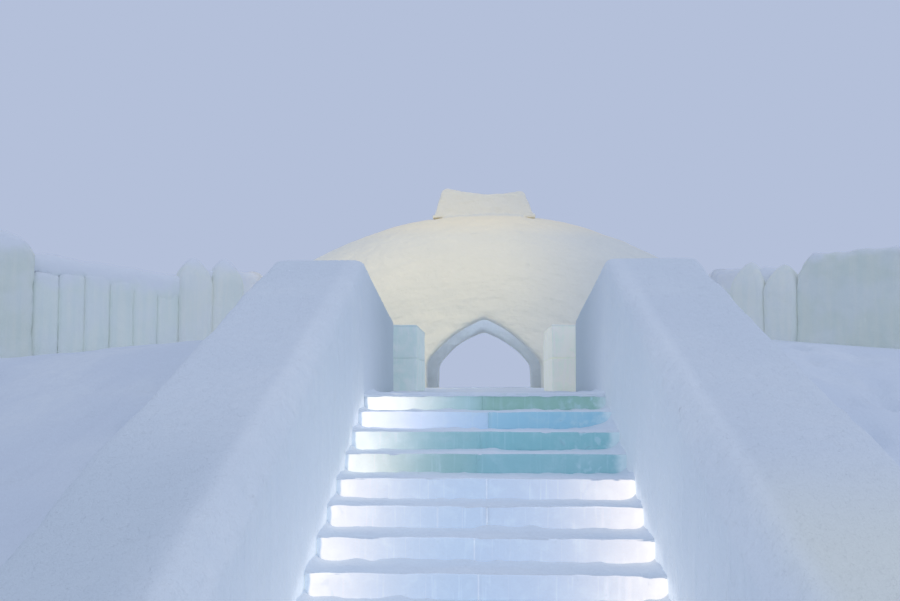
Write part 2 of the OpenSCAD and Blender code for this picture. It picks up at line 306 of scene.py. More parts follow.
def block_shell(low, high, radii, cell):
    """Points, outward ways and faces of a closed block with rounded edges.

    Each axis has a radius for its low end and one for its high end.
    """
    low, high, radii = np.array(low), np.array(high), np.array(radii)
    lines = [grid_lines(low[i], high[i], radii[i], cell) for i in range(3)]
    places, index, faces = [], {}, []
    for axis in range(3):
        u, v = (axis + 1) % 3, (axis + 2) % 3
        for end in (0, len(lines[axis]) - 1):
            for a in range(len(lines[u]) - 1):
                for b in range(len(lines[v]) - 1):
                    quad = []
                    for da, db in ((0, 0), (1, 0), (1, 1), (0, 1)):
                        key = [0, 0, 0]
                        key[axis], key[u], key[v] = end, a + da, b + db
                        key = tuple(key)
                        if key not in index:
                            index[key] = len(places)
                            places.append([lines[i][key[i]] for i in range(3)])
                        quad.append(index[key])
                    faces.append(quad if end else quad[::-1])
    places = np.array(places)
    core = np.clip(places, low + radii[:, 0], high - radii[:, 1])
    radius = np.where(places < core, radii[:, 0], radii[:, 1])
    way = (places - core) / radius
    way /= np.linalg.norm(way, axis=1)[:, None]
    return core + radius * way, way, faces


def tube_shell(rings):
    """Points and faces of a closed shell round rings of points that lie one above another."""
    count = len(rings[0])
    points = np.concatenate([*rings, [rings[0].mean(0)], [rings[-1].mean(0)]])
    faces = []
    for i in range(len(rings) - 1):
        for j in range(count):
            k = (j + 1) % count
            faces.append((i * count + j, i * count + k, (i + 1) * count + k, (i + 1) * count + j))
    top = (len(rings) - 1) * count
    for j in range(count):
        k = (j + 1) % count
        faces.append((k, j, len(points) - 2))
        faces.append((top + j, top + k, len(points) - 1))
    return points, faces


def sheet_shell(upper, lower, rows, cols):
    """Points and faces of a closed shell between two grids of points, one over the other."""
    size = rows * cols
    faces = []
    for i in range(rows - 1):
        for j in range(cols - 1):
            a, b = i * cols + j, (i + 1) * cols + j
            faces.append((a, b, b + 1, a + 1))
            faces.append((a + 1 + size, b + 1 + size, b + size, a + size))
    rim = [i * cols for i in range(rows)]
    rim += [(rows - 1) * cols + j for j in range(1, cols)]
    rim += [i * cols + cols - 1 for i in range(rows - 2, -1, -1)]
    rim += list(range(cols - 2, 0, -1))
    for a, b in zip(rim, rim[1:] + rim[:1]):
        faces.append((b, a, a + size, b + size))
    return np.concatenate([upper, lower]), faces


def mesh_piece(name, shells):
    """One object from several closed shells of points and faces, all facing outward."""
    points, faces = [], []
    for co, quads in shells:
        faces += [[i + len(points) for i in quad] for quad in quads]
        points += [tuple(p) for p in co]
    mesh = bpy.data.meshes.new(name)
    mesh.from_pydata(points, [], faces)
    bm = bmesh.new()
    bm.from_mesh(mesh)
    bmesh.ops.recalc_face_normals(bm, faces=bm.faces)
    bm.to_mesh(mesh)
    bm.free()
    return add_object(name, mesh)


def surface_under(piece):
    """A function that gives the height of a piece's upper surface at a place, or None."""
    bm = bmesh.new()
    bm.from_mesh(piece.data)
    tree = BVHTree.FromBMesh(bm)
    bm.free()
    sky_z = 20.0

    def height(x, y):
        hit = tree.ray_cast(Vector((x, y, sky_z)), Vector((0, 0, -1)))[0]
        return hit.z if hit else None

    return height


# Materials

class Surface:
    """A material built one node at a time round a Principled shader."""

    def __init__(self, name, roughness, **constants):
        self.material = bpy.data.materials.new(name)
        self.material.use_nodes = True
        self.tree = self.material.node_tree
        self.shader = self.tree.nodes["Principled BSDF"]
        self.shader.inputs["Roughness"].default_value = roughness
        for key, value in constants.items():
            self.shader.inputs[key].default_value = value
        self.place = self.node("ShaderNodeTexCoord").outputs["Object"]
        self.bumped = None

    def node(self, kind, settings=(), inputs=()):
        made = self.tree.nodes.new(kind)
        for key, value in dict(settings).items():
            setattr(made, key, value)
        for key, value in dict(inputs).items():
            if isinstance(value, bpy.types.NodeSocket):
                self.tree.links.new(value, made.inputs[key])
            else:
                made.inputs[key].default_value = value
        return made

    def vector(self, operation, a, b):
        return self.node("ShaderNodeVectorMath", {"operation": operation}, {0: a, 1: b}).outputs[0]

    def noise(self, scale, detail=3.0, stretch=None, twist=0.0):
        """Noise over the place, or over the place with each axis multiplied by its stretch."""
        inputs = {"Scale": scale, "Detail": detail, "Distortion": twist}
        inputs["Vector"] = self.vector("MULTIPLY", self.place, stretch) if stretch else self.place
        return self.node("ShaderNodeTexNoise", {}, inputs).outputs[0]

    def axis(self, i):
        return self.node("ShaderNodeSeparateXYZ", {}, {0: self.place}).outputs[i]

    def math(self, operation, a, b=0.0):
        return self.node("ShaderNodeMath", {"operation": operation}, {0: a, 1: b}).outputs[0]

    def plus(self, a, b):
        return self.math("ADD", a, b)

    def minus(self, a, b):
        return self.math("SUBTRACT", a, b)

    def times(self, a, b):
        return self.math("MULTIPLY", a, b)

    def apart(self, a, b):
        """How far two values are apart."""
        return self.math("ABSOLUTE", self.minus(a, b))

    def fading(self, distance, reach):
        """1 at no distance, and e times less for each reach further."""
        return self.math("EXPONENT", self.math("DIVIDE", distance, -reach))

    def span(self, value, low, high, out_low=0.0, out_high=1.0):
        """The value with low to high made into two other ends, smoothly and clamped."""
        return self.node(
            "ShaderNodeMapRange",
            {"interpolation_type": "SMOOTHSTEP"},
            {0: value, 1: low, 2: high, 3: out_low, 4: out_high},
        ).outputs[0]

    def mix(self, factor, a, b):
        inputs = {0: factor}
        for key, colour in ((6, a), (7, b)):
            inputs[key] = colour if isinstance(colour, bpy.types.NodeSocket) else (*colour, 1.0)
        return self.node("ShaderNodeMix", {"data_type": "RGBA"}, inputs).outputs[2]

    def bump(self, height, depth):
        """Adds a layer of relief, with the depth in metres between heights 0 and 1."""
        inputs = {"Height": height, "Distance": depth, "Strength": 1.0}
        if self.bumped:
            inputs["Normal"] = self.bumped
        self.bumped = self.node("ShaderNodeBump", {}, inputs).outputs[0]

    def finish(self, colour, emission=None):
        self.tree.links.new(colour, self.shader.inputs["Base Color"])
        if emission:
            self.tree.links.new(emission, self.shader.inputs["Emission Color"])
            self.shader.inputs["Emission Strength"].default_value = 1.0
        if self.bumped:
            self.tree.links.new(self.bumped, self.shader.inputs["Normal"])
        return self.material


def tinted(colour, tint):
    """A colour with each channel multiplied by the tint's."""
    return tuple(c * t for c, t in zip(colour, tint))


def snow_colour(s, tone, shade):
    """Snow that is a little darker in broad soft patches and in small mottles."""
    patches = s.span(s.noise(0.7, 3.0), 0.35, 0.65)
    mottles = s.span(s.noise(9.0, 4.0), 0.3, 0.7, 0.0, 0.5)
    return s.mix(mottles, s.mix(patches, tone, shade), shade)


def snow_grain(s, lumps):
    """Two sizes of fine crystals on small lumps."""
    s.bump(s.noise(4.0, 3.0), lumps)
    s.bump(s.noise(40.0, 3.0), 0.005)
    s.bump(s.noise(190.0, 2.0), 0.0015)


def bank_material(side, tint):
    """Piled snow, which is a little darker on the side away from the light."""
    s = Surface(f"bank_snow_{side}", 0.8)
    snow_grain(s, 0.03)
    return s.finish(snow_colour(s, tinted(BANK_SNOW, tint), tinted(BANK_SHADE, tint)))


def packed_material():
    """Snow trodden into shallow hollows."""
    s = Surface("packed_snow", 0.8)
    snow_grain(s, 0.03)
    s.bump(s.span(s.noise(3.2, 2.0, twist=0.6), 0.4, 0.6), 0.015)
    return s.finish(snow_colour(s, SNOW, SNOW_SHADE))


def tread_material():
    """Loose trodden snow on the ice, with a little of the light in the ice coming through it."""
    s = Surface("tread_snow", 0.8)
    snow_grain(s, 0.01)
    glow = s.mix(s.noise(3.0), *TREAD_GLOW)
    return s.finish(snow_colour(s, SNOW, SNOW_SHADE), glow)


def wall_material():
    """Snow that was scraped upright with a blade and glows beside the lit ends of the steps."""
    s = Surface("wall_snow", 0.75)
    snow_grain(s, 0.02)
    scrapes = s.noise(1.0, 4.0, stretch=(16.0, 16.0, 1.1))
    fine_scrapes = s.noise(1.0, 3.0, stretch=(60.0, 60.0, 2.2))
    s.bump(scrapes, 0.016)
    s.bump(fine_scrapes, 0.006)
    colour = snow_colour(s, SNOW, SNOW_SHADE)
    colour = s.mix(s.span(scrapes, 0.3, 0.7, 0.0, 0.45), colour, SNOW_SHADE)
    from_stair = s.minus(s.math("ABSOLUTE", s.axis(0)), STAIR_HALF)
    inner_face = s.span(from_stair, 0.16, 0.26, 1.0, 0.0)
    colour = wall_tints(s, colour, inner_face)
    return s.finish(colour, s.mix(wall_light(s, inner_face), BLACK, WALL_GLOW))


def wall_tints(s, colour, inner_face):
    """Shade on the inner faces past the steps and on the left wall's foot, and a warm right foot."""
    x, y = s.axis(0), s.axis(1)
    past_steps = s.times(s.span(y, EDGE_Y - 0.1, EDGE_Y + 2.0), inner_face)
    colour = s.mix(past_steps, colour, WALL_SHADE)
    behind_end = s.span(y, EDGE_Y - 5.6, EDGE_Y - 4.8)
    left_foot = s.times(s.span(y, EDGE_Y - 2.5, EDGE_Y - 4.5, 0.0, 0.6), behind_end)
    left_foot = s.times(left_foot, s.span(x, -STAIR_HALF - 0.04, -STAIR_HALF - 0.44))
    colour = s.mix(left_foot, colour, WALL_SHADE)
    right_foot = s.times(s.span(y, EDGE_Y - 3.4, EDGE_Y - 4.4), behind_end)
    right_foot = s.times(right_foot, s.span(x, STAIR_HALF + 0.04, STAIR_HALF + 0.29))
    return s.mix(right_foot, colour, WALL_WARM)


def wall_light(s, inner_face):
    """How strongly the inner faces glow.

    A wide soft light stands over the flight, and a thin fringe of light runs along the steps, but
    not on the right of the unlit ones.
    """
    x, y, z = s.axis(0), s.axis(1), s.axis(2)
    before_edge = s.math("MINIMUM", s.minus(y, EDGE_Y), 0.0)
    steps_z = s.plus(s.times(before_edge, PITCH), TERRACE_Z)
    above = s.math("MAXIMUM", s.minus(z, steps_z), 0.0)
    wide = s.times(s.fading(above, 1.2), 0.13)
    wide = s.times(wide, s.span(y, EDGE_Y + 2.0, EDGE_Y - 2.5))
    fringe = s.times(s.fading(above, 0.05), 0.12)
    fringe = s.times(fringe, s.span(y, EDGE_Y + 0.05, EDGE_Y - 0.05))
    on_right = s.span(x, -0.2, 0.2)
    by_unlit = s.span(y, EDGE_Y - 3.6 * TREAD, EDGE_Y - 3.9 * TREAD, 1.0, 0.0)
    fringe = s.times(fringe, s.minus(1.0, s.times(on_right, by_unlit)))
    return s.times(s.plus(wide, fringe), inner_face)


def log_material(name, tint, dust):
    """Moulded grey-green snow, faintly streaked, with loose snow clinging above a ragged height."""
    s = Surface(name, 0.75)
    snow_grain(s, 0.015)
    grain = s.noise(1.0, 4.0, stretch=(9.0, 9.0, 0.7))
    s.bump(grain, 0.01)
    body = s.mix(s.span(grain, 0.25, 0.75), tinted(LOG_SNOW, tint), tinted(LOG_SHADE, tint))
    body = s.mix(s.span(s.noise(1.3, 3.0), 0.4, 0.6, 0.0, 0.3), body, DUSTING)
    ragged = 0.5
    height = s.plus(s.axis(2), s.times(s.noise(3.0, 4.0), ragged))
    starts, covers = [TERRACE_Z + over_terrace + ragged / 2 for over_terrace in dust]
    return s.finish(s.mix(s.span(height, starts, covers), body, DUSTING))


def dome_material():
    """Smoothed cream snow with faint bands that follow the curve of the crest, with painted warm light
    and glow under it and painted shade on the crown.
    """
    s = Surface("dome_snow", 0.75)
    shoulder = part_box("front_arch_head")[1]
    half_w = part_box("front_right_end")[1].x
    centre_z = (shoulder.x**2 + shoulder.z**2 - half_w**2) / (2 * shoulder.z)
    from_centre = s.vector("SUBTRACT", s.place, (0.0, DOME_Y, centre_z))
    flat = s.vector("MULTIPLY", from_centre, (1.0, 0.0, 1.0))
    radius = s.node("ShaderNodeVectorMath", {"operation": "LENGTH"}, {0: flat}).outputs["Value"]
    wobble = s.plus(radius, s.times(s.noise(0.6, 2.0), 0.35))
    across = s.node(
        "ShaderNodeCombineXYZ", {}, {0: s.times(wobble, 5.0), 1: s.axis(0), 2: s.axis(1)}
    ).outputs[0]
    bands = s.node(
        "ShaderNodeTexNoise", {}, {"Vector": across, "Scale": 1.0, "Detail": 3.0}
    ).outputs[0]
    snow_grain(s, 0.05)
    s.bump(bands, 0.05)
    colour = snow_colour(s, DOME_SNOW, DOME_SHADE)
    colour = s.mix(s.span(bands, 0.35, 0.65, 0.0, 0.6), colour, DOME_SHADE)
    z = s.axis(2)
    # Painted shade on the crown and the top of the crest
    on_crown = s.span(z, shoulder.z - 0.2, shoulder.z)
    # Painted warm light and glow on the band under the crest
    near_crest = s.span(z, shoulder.z - 1.0, shoulder.z - 0.3)
    crest = s.times(near_crest, s.minus(1.0, on_crown))
    colour = s.mix(on_crown, s.mix(crest, colour, CREST_PAINTED_LIGHT), CROWN_PAINTED_SHADE)
    return s.finish(colour, s.mix(crest, BLACK, CREST_PAINTED_GLOW))


def end_glow(s, distance, beyond, reach):
    """Light that fades inward from a lamp beyond the end of a step, from 1 down to 0."""
    share = s.math("DIVIDE", s.plus(distance, beyond), reach)
    return s.math("EXPONENT", s.times(s.times(share, share), -1.0))


def step_material(k):
    """Clear block ice. The left and right blocks have their own tints, and lamps glow at the ends."""
    left, right, beyond, reach = UNLIT_STEPS.get(k, LIT_STEP)
    s = Surface(f"step_ice_{k}", 0.22, IOR=1.31)
    x = s.axis(0)
    end_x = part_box(f"ice_step_{k}")[1].x
    joint_x = solids(f"ice_step_{k}")[0][1].x
    cloud = s.noise(7.0, 5.0, twist=0.4)
    veins = s.noise(1.0, 4.0, stretch=(30.0, 30.0, 2.0))
    flaws = s.noise(9.0, 3.0, twist=1.2)
    blur = 0.01 if k == STEPS - 1 else 0.14
    tint = s.mix(s.span(x, joint_x - blur, joint_x + blur), left, right)
    tint = s.mix(s.span(cloud, 0.45, 0.8, 0.0, 0.35), tint, ICE_CLOUD)
    tint = s.mix(s.span(veins, 0.55, 0.8, 0.0, 0.3), tint, ICE_VEIN)
    tint = s.mix(s.span(flaws, 0.66, 0.74, 0.0, 0.35), tint, ICE_FLAW)
    glow = end_glow(s, s.minus(x, -end_x), beyond, reach)
    if k in UNLIT_STEPS:
        frost = s.times(s.span(s.noise(13.0, 2.0), 0.53, 0.68), s.span(x, 0.5, 0.95))
        tint = s.mix(s.times(frost, 0.45), tint, ICE_FROST)
        ragged_x = s.plus(x, s.times(s.noise(8.0, 3.0), 0.15))
        tint = s.mix(s.span(ragged_x, end_x - 0.05, end_x + 0.05, 0.0, 0.8), tint, SNOW)
    else:
        glow = s.math("MAXIMUM", glow, end_glow(s, s.minus(end_x, x), beyond, reach))
        glow = s.plus(glow, s.span(s.apart(x, joint_x), 0.002, 0.008, 0.13, 0.0))
        cracks = s.noise(1.0, 0.0, stretch=(4.5, 4.5, 0.02))
        glow = s.plus(glow, s.span(s.apart(cracks, 0.6), 0.0, 0.006, 0.12, 0.0))
    uneven = s.plus(s.span(cloud, 0.3, 0.7, 0.93, 1.04), s.span(veins, 0.5, 0.8, 0.0, 0.08))
    uneven = s.minus(uneven, s.span(flaws, 0.66, 0.74, 0.0, 0.15))
    light = s.mix(s.times(glow, uneven), *(UNLIT_GLOW if k in UNLIT_STEPS else LIT_GLOW))
    ragged_x = s.plus(x, s.times(s.noise(12.0, 2.0), 0.03))
    past_packed_snow = s.span(ragged_x, -end_x + 0.040, -end_x + 0.060)
    tint = s.mix(past_packed_snow, SNOW_SHADE, tint)
    light = s.mix(past_packed_snow, PACKED_GLOW, light)
    s.bump(s.noise(14.0, 3.0), 0.006)
    s.bump(cloud, 0.01)
    return s.finish(tint, light)


def pier_material(side):
    """Cloudy greenish ice with trapped air, darker along its joint and its upper edge."""
    s = Surface(f"pier_ice_{side}", 0.3, IOR=1.31)
    cloud = s.noise(5.0, 5.0, twist=0.5)
    streaks = s.noise(1.0, 4.0, stretch=(18.0, 18.0, 2.0))
    tint = s.mix(s.span(cloud, 0.35, 0.7), PIER_ICE, PIER_PALE)
    tint = s.mix(s.span(streaks, 0.45, 0.75, 0.0, 0.5), tint, PIER_STREAK)
    z = s.axis(2)
    joint_z, top_z = [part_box(f"{side}_pier_{level}")[1].z for level in ("lower", "upper")]
    tint = s.mix(s.span(s.apart(z, joint_z), 0.004, 0.014, 0.2, 0.0), tint, PIER_JOINT)
    tint = s.mix(s.span(z, top_z - 0.04, top_z - 0.012, 0.0, 0.5), tint, PIER_EDGE)
    s.bump(cloud, 0.01)
    s.bump(s.noise(40.0, 2.0), 0.003)
    return s.finish(tint, s.mix(cloud, *PIER_GLOW[side]))


def floor_material():
    s = Surface("pale_floor", 0.9)
    return s.finish(s.mix(s.span(s.noise(0.4, 4.0), 0.3, 0.7), FLOOR, SNOW_SHADE))


# The stair

def ice_step(k):
    """Two long blocks of ice with softened edges and slightly melted faces, frozen together."""
    node = f"ice_step_{k}"
    lit = k not in UNLIT_STEPS
    left, right = solids(node)
    joint, front_edge, top_edge = 0.0015, 0.02, 0.012
    left_end, right_end = 0.07, 0.06 if lit else 0.02
    half_gap = (right[0].x - left[1].x) / 2 - 0.0002
    left[1].x += half_gap
    right[0].x -= half_gap
    right[1].x += 0.0 if lit else 0.03
    shells = []
    for (low, high), ends in ((left, (left_end, joint)), (right, (joint, right_end))):
        radii = (ends, (front_edge, front_edge), (top_edge, top_edge))
        co, way, faces = block_shell(low, high, radii, 0.045)
        melt = 0.004 * rough(co, 0.35, 60 + k) + 0.0015 * rough(co, 0.08, 80 + k)
        shells.append((co + way * melt[:, None], faces))
    return dress(mesh_piece(f"{node}_blocks", shells), step_material(k), "step_ice", node)


def tread_snow(k):
    """Points and faces of the loose snow on one tread, piled against the riser above it."""
    low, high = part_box(f"ice_step_{k}")
    is_top = k == STEPS
    lip = -0.012 if is_top else 0.012
    back_y = high.y + 0.3 if is_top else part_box(f"ice_step_{k + 1}")[0].y + 0.02
    half_w = STAIR_HALF + 0.05
    xs = np.linspace(-half_w, half_w, 190)
    ways_back = np.linspace(0, 1, 13) ** 0.8
    x, share = [grid.ravel() for grid in np.meshgrid(xs, ways_back, indexing="ij")]
    along = np.stack([x, np.full_like(x, k * 3.1), np.zeros_like(x)], 1)
    front_y = low.y + lip + 0.010 * rough(along, 0.11, 90)
    y = front_y + (back_y - front_y) * share
    mounds = 0.8 * rough(along, 0.3, 95) + 0.45 * rough(along, 0.09, 96, 2)
    ragged = np.clip(0.3 + mounds, 0, 1.5)
    drift = 0.024 * ragged**1.5 * np.exp(-(back_y - y) / 0.05)
    drift += 0.016 * ragged * np.exp(-(((y - low.y - 0.12) / 0.07) ** 2))
    to_wall = np.maximum(STAIR_HALF - np.abs(x), 0)
    corner = 0.045 * np.exp(-to_wall / 0.035) * (0.3 + 0.7 * share)
    to_right = np.maximum(STAIR_HALF - x, 0)
    corner += SLIDES.get(k, 0.0) * np.exp(-to_right / 0.10) * share**2
    place = np.stack([x, y, np.zeros_like(x)], 1)
    skin = 0.007 + 0.004 * rough(place, 0.12, 99)
    thin_edge = np.clip(share / 0.10, 0, 1) ** 0.5
    upper_z = high.z - 0.004 + (0.004 + skin) * thin_edge + drift + corner
    lower_z = np.full_like(x, high.z - 0.012)
    if is_top:
        lower_z -= 0.014 + 0.006 * rough(along, 0.09, 97)
    upper, lower = [np.stack([x, y, z], 1) for z in (upper_z, lower_z)]
    return sheet_shell(upper, lower, len(xs), len(ways_back))


def stair(packed):
    """The steps, the snow on their treads and the bed of snow under them."""
    for k in range(1, STEPS + 1):
        ice_step(k)
    treads = [tread_snow(k) for k in range(1, STEPS + 1)]
    dress(mesh_piece("tread_snow", treads), tread_material(), "packed_snow")
    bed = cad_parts["stair_bed"].data
    bed.materials.clear()
    bed.materials.append(packed)


def wing_wall(side, sign, material):
    """Thick snow wall with a worn top and a fine ragged ridge along its inner top edge."""
    node = f"{side}_wing_wall"
    piece = moulded(f"{side}_wing_snow", node_bmesh(node), 0.036, 2)
    co = get_points(piece)
    normal = get_normals(piece)
    inward = np.clip(-sign * normal[:, 0], 0, 1)
    upward = np.clip(normal[:, 2], 0, 1)
    swells = 0.022 * rough(co, 1.1, 3) + 0.006 * rough(co, 0.22, 7)
    scrapes = 0.010 * rough(co * np.array([3.0, 3.0, 0.22]), 0.2, 11) * inward
    pits = 0.03 * np.clip(rough(co, 0.13, 17, 2) - 0.55, 0, 1) * upward
    inner_edge = np.clip(3.2 * inward * upward - 0.5, 0, 1)
    ridge = 0.010 * inner_edge * np.clip(0.35 + rough(co, 0.08, 41), 0, 1.2)
    shift = swells + scrapes - pits + ridge
    if side == "right":
        low_part = np.clip((EDGE_Y - 1.5 - co[:, 1]) / 1.5, 0, 1)
        crumbs = np.clip(rough(co, 0.12, 43, 2) - 0.6, 0, 1)
        shift += 0.03 * low_part * upward * crumbs
    past_steps = np.clip((co[:, 1] - EDGE_Y + 0.3) / 0.4, 0, 1)
    shift *= 1 - 0.8 * past_steps
    set_points(piece, co + normal * shift[:, None])
    return dress(piece, material, "wall_snow", node)


def pier(side, level, material):
    """One course of ice blocks with softened edges and slightly melted faces."""
    node = f"{side}_pier_{level}"
    radii = ((0.018, 0.018), (0.012, 0.012), (0.008, 0.008))
    shells = []
    for i, (low, high) in enumerate(solids(node)):
        co, way, faces = block_shell(low, high, radii, 0.05)
        melt = 0.005 * rough(co, 0.3, 110 + i) + 0.002 * rough(co, 0.07, 120)
        shells.append((co + way * melt[:, None], faces))
    return dress(mesh_piece(f"{side}_pier_ice_{level}", shells), material, "pier_ice", node)


def terrace(material):
    """Trodden snow, a little wider than its node so that it runs into the banks."""
    bm = node_bmesh("terrace")
    for v in bm.verts:
        v.co.x *= 1.02
    piece = moulded("terrace_snow", bm, 0.11, 4)
    roughen(piece, [(1.6, 0.022), (0.3, 0.010)], 31)
    return dress(piece, material, "packed_snow", "terrace")


# The banks and the palisades

class Fence:
    """The line of a palisade: its start, the way along it and the way to its front."""

    def __init__(self, side):
        self.gate = sorted(solids(f"{side}_gate_logs"), key=lambda box: abs(centre(box).x))
        inner, outer = [centre(box) for box in self.gate]
        self.start = Vector((inner.x, inner.y, 0))
        self.along = Vector((outer.x - inner.x, outer.y - inner.y, 0)).normalized()
        self.front = Vector((self.along.y, -self.along.x, 0))
        if self.front.y > 0:
            self.front = -self.front
        self.gate_r = (self.gate[0][1].x - self.gate[0][0].x) / 2
        ends = [self.how_far(v.co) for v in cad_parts[f"{side}_bastion"].data.vertices]
        self.bastion_from, self.length = min(ends), max(ends)

    def how_far(self, place):
        """How far along the fence a place is."""
        return (place - self.start).dot(self.along)

    def place(self, along, ahead=0.0, z=0.0):
        return self.start + self.along * float(along) + self.front * ahead + Vector((0, 0, z))


def fill_to_fence(bm, fence, height):
    """Adds lumps of snow to a bank where it meets its palisade."""
    radius = 0.22
    for along in np.arange(-0.3, fence.length, 0.12):
        edge = fence.place(along, 0.45)
        top = height(edge.x, edge.y)
        if top:
            for ahead in (0.15, 0.28):
                spot = fence.place(along, ahead, top - 0.24)
                add_lump(bm, spot, radius)
                add_lump(bm, spot - Vector((0, 0, 0.2)), radius)


def footprints(co, upward, sign, seed):
    """Presses deep prints into the upper surface of a bank beside its wing wall."""
    rng = np.random.default_rng(seed)
    prints = 60
    for _ in range(prints):
        x = sign * (WING_OUT + 0.25 + rng.gamma(1.4, 0.8))
        y = EDGE_Y + rng.uniform(-4.0, 4.5)
        reach = ((co[:, 0] - x) ** 2 + ((co[:, 1] - y) * 0.6) ** 2) / rng.uniform(0.06, 0.11) ** 2
        co[:, 2] -= rng.uniform(0.04, 0.09) * np.exp(-reach) * upward


def bank(side, sign, material):
    """Piled snow that runs into the wing wall and fills up to the palisade, with prints in it."""
    node = f"{side}_bank"
    fence = Fence(side)
    bm = node_bmesh(node)
    into_wall = 0.12
    for v in bm.verts:
        if abs(abs(v.co.x) - WING_OUT) < 0.01:
            v.co.x -= sign * into_wall
    fill_to_fence(bm, fence, surface_under(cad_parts[node]))
    piece = moulded(f"{side}_bank_snow", bm, 0.08, 6)
    co = get_points(piece)
    lowest = np.minimum(co[:, 2], 0.05)
    normal = get_normals(piece)
    upward = np.clip(normal[:, 2], 0, 1)
    ahead = (co - np.array(fence.start)) @ np.array(fence.front)
    calm = np.clip(ahead / 2.0, 0.2, 1.0)
    shift = (0.035 * rough(co, 2.3, 21) + 0.016 * rough(co, 0.5, 23)) * calm
    co += normal * shift[:, None]
    settled = 0.05 if side == "left" else 0.10
    co[:, 2] -= settled * np.clip((ahead - 0.8) / 2.0, 0, 1) * upward
    from_wall = np.maximum(np.abs(co[:, 0]) - WING_OUT, 0)
    co[:, 2] -= 0.10 * np.exp(-from_wall / 0.3) * upward
    footprints(co, upward, sign, 6 if side == "left" else 5)
    co[:, 2] = np.maximum(co[:, 2], lowest)
    set_points(piece, co)
    return dress(piece, material, "bank_snow", node)


def log_shell(box, along, front, head, seed):
    """A snow log with flat worn sides and a round head, as points and faces."""
    low, high = box
    head_h, point = head
    rng = np.random.default_rng(seed)
    radius = (high.x - low.x) / 2 + 0.012
    middle = centre(box) + front * rng.uniform(-0.015, 0.015)
    turn = rng.uniform(-0.03, 0.03)
    angle = np.linspace(0, 2 * math.pi, 44, endpoint=False)
    c, s = np.cos(angle), np.sin(angle)
    square = (np.abs(c) ** 8 + np.abs(s) ** 8) ** (-1 / 8)
    shaft_z = np.linspace(low.z + 0.02, high.z - head_h, 30)
    share = np.linspace(0, 1, 12)[1:] ** 0.6
    share[-1] = 0.995
    heights = np.concatenate([shaft_z, high.z - head_h + head_h * share])
    widths = np.concatenate([np.ones(len(shaft_z)), (1 - share**point) ** (1 / point)])
    rings = []
    for z, width in zip(heights, widths):
        shape = width * (square * width + 1 - width)
        u = radius * shape * np.cos(angle + turn)
        v = radius * shape * np.sin(angle + turn)
        flat = np.outer(u, along) + np.outer(v, front) + np.array([middle.x, middle.y, z])
        worn = 0.009 * rough(flat, 0.6, seed) + 0.004 * rough(flat, 0.12, seed + 3)
        out = np.outer(c, along) + np.outer(s, front)
        rings.append(flat + out * (worn * width)[:, None])
    return tube_shell(rings)


def log_row(name, node, boxes, along, front, head, seed, material):
    """Snow logs side by side, turned to the line of their fence."""
    shells = [log_shell(box, along, front, head, seed + i) for i, box in enumerate(boxes)]
    return dress(mesh_piece(name, shells), material, "log_snow", node)


def snow_drift(name, places, front, half_depth, lows, tops, seed, material):
    """A ragged band of loose snow over the heads of a row of logs, thin at its lower edge.

    It runs from one place to another. Lows and tops are heights over the terrace of its lower edge
    and its top, at even distances between the two.
    """
    start, way = np.array(places[0]), np.array(places[1] - places[0])
    length = (places[1] - places[0]).length
    count = max(12, int(length / 0.03))
    share = np.linspace(0, 1, count)
    line = np.stack([share * length, 0 * share, 0 * share], 1)
    low_z, top_z = [
        TERRACE_Z + np.interp(share, np.linspace(0, 1, len(stops)), stops) for stops in (lows, tops)
    ]
    low_z += 0.06 * rough(line, 0.17, seed) + 0.02 * rough(line, 0.05, seed + 2)
    top_z += 0.022 * rough(line, 0.3, seed + 5)
    angle = np.linspace(0, math.pi, 15)
    round_u = np.sign(np.cos(angle)) * np.abs(np.cos(angle)) ** 0.7
    across = np.concatenate([[0.80, 0.93, 0.985], round_u, [-0.985, -0.93, -0.80]])
    foot = np.array([0, 0.12, 0.3])
    rings = []
    for i in range(count):
        height = top_z[i] - low_z[i]
        crown_z = min(0.2, 0.6 * height)
        up = [height * foot, height - crown_z + crown_z * np.sin(angle), height * foot[::-1]]
        ring = start + share[i] * way + np.outer(across * half_depth, np.array(front))
        ring[:, 2] = low_z[i] + np.concatenate(up)
        rings.append(ring)
    piece = mesh_piece(name, [tube_shell(rings)])
    roughen(piece, [(0.3, 0.012), (0.08, 0.006)], seed)
    return dress(piece, material, "log_snow")


def gate(side, log_snow, drift_snow):
    """The two big logs beside the way, and the loose snow between their heads."""
    fence = Fence(side)
    boxes = [raised(box, wear) for box, wear in zip(fence.gate, GATE_WEAR[side])]
    log_row(
        f"{side}_gate_row", f"{side}_gate_logs", boxes, fence.along, fence.front, GATE_HEAD, 80, log_snow
    )
    snow_drift(
        f"{side}_gate_drift", [fence.place(-0.05), fence.place(2 * fence.gate_r)], fence.front, 0.16,
        [2.108, 2.008, 2.108], [2.338, 2.488, 2.388], 91, drift_snow,
    )


def bastion(side, material):
    """The plain block of snow at the end of a palisade, with loose snow heaped along its top."""
    node = f"{side}_bastion"
    fence = Fence(side)
    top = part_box(node)[1].z
    bm = node_bmesh(node)
    rng = np.random.default_rng(8)
    for along in np.arange(fence.bastion_from + 0.22, fence.length - 0.12, 0.11):
        for ahead in (-0.15, 0.15):
            add_lump(bm, fence.place(along, ahead, top - 0.08 + rng.uniform(-0.05, 0.03)), 0.15)
    piece = moulded(f"{side}_bastion_snow", bm, 0.05, 3)
    roughen(piece, [(0.9, 0.02), (0.2, 0.012)], 77)
    co = get_points(piece)
    upper = np.clip((co[:, 2] - top + 0.8) / 0.8, 0, 1)
    layers = rough(co * np.array([0.4, 0.4, 2.5]), 0.2, 83)
    co += get_normals(piece) * (0.014 * layers * upper)[:, None]
    from_gate = (co - np.array(fence.start)) @ np.array(fence.along) - fence.bastion_from
    share = np.clip(from_gate / BASTION_REACH[side], 0, 1)
    rise = BASTION_RISE[side]
    co[:, 2] += upper * (rise[0] + (rise[1] - rise[0]) * share)
    set_points(piece, co)
    return dress(piece, material, "log_snow", node)


